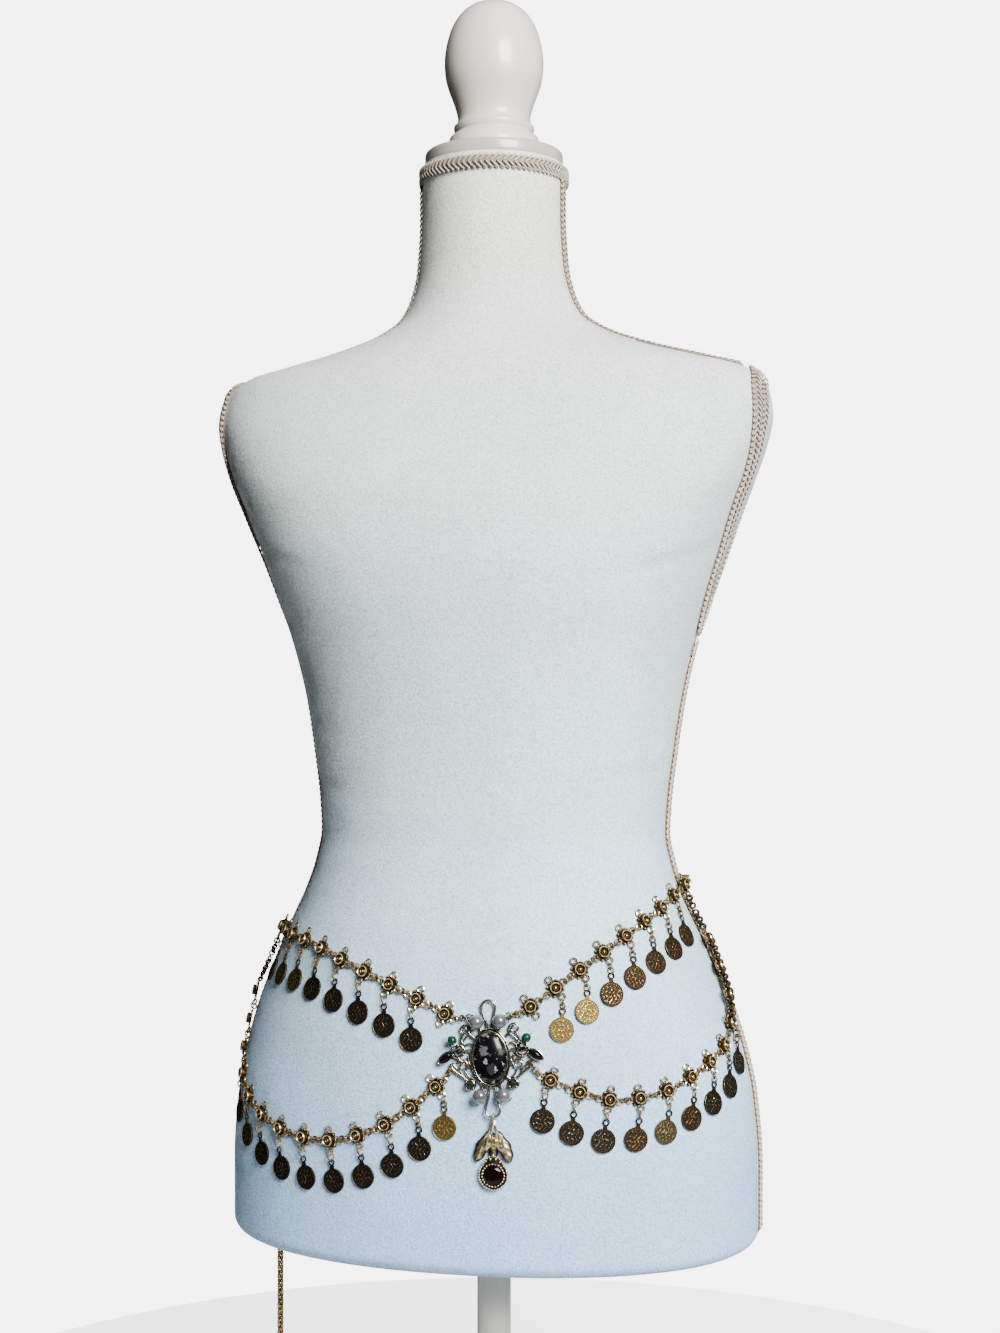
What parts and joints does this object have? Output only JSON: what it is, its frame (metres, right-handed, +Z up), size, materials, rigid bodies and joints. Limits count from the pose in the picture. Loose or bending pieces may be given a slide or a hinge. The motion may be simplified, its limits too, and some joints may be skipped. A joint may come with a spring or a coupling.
{
  "type": "coin chain belt on a dress form",
  "caption": "Two-row chain belt of rosette links with hanging coins, a stone brooch and a pendant, resting on the hips of a limbless velvet dress form with a finial and a plain stand.",
  "frame": {"origin": "centre of the stand base's underside", "axes": "+Z up; the form's front faces -Y and +X is to the right as seen from the front"},
  "size_m": [0.362, 0.26, 0.981],
  "materials": {
    "velvet": "short nap",
    "braid": "satin gimp braid",
    "paint": "gloss cream paint",
    "gold": "antiqued, worn highlights",
    "pewter": "antiqued, dark recesses",
    "black_stone": "polished, opaque",
    "pearl": "pearly lacquer",
    "clear_stone": "faceted, foil backed",
    "garnet": "faceted, opaque"
  },
  "bodies": {
    "belt_on_form": {"back_chain": "gold", "brooch_frame": "pewter", "brooch_stone": "black_stone", "clasp": "gold", "clear_stone_left": "clear_stone", "clear_stone_right": "clear_stone", "form_armhole_braid_left": "braid", "form_armhole_braid_right": "braid", "form_finial": "paint", "form_neck_braid": "braid", "form_neck_plate": "paint", "form_side_braid_left": "braid", "form_side_braid_right": "braid", "form_torso": "velvet", "navette_left": "black_stone", "navette_right": "black_stone", "pearl_lower_left": "pearl", "pearl_lower_right": "pearl", "pearl_upper_left": "pearl", "pearl_upper_right": "pearl", "row_lower_left": "gold", "row_lower_right": "gold", "row_upper_left": "gold", "row_upper_right": "gold", "stand_base": "paint", "stand_pole": "paint", "tail_chain": "gold"},
    "pendant": {"pendant_body": "gold", "pendant_stone": "garnet"}
  },
  "joints": [
    {"name": "pendant_swing", "type": "hinge", "parent": "belt_on_form", "child": "pendant", "pos_m": [0.02503, -0.11814, 0.27805], "axis": [-0.9975, -0.0704, 0], "range_deg": [0, 80]}
  ]
}
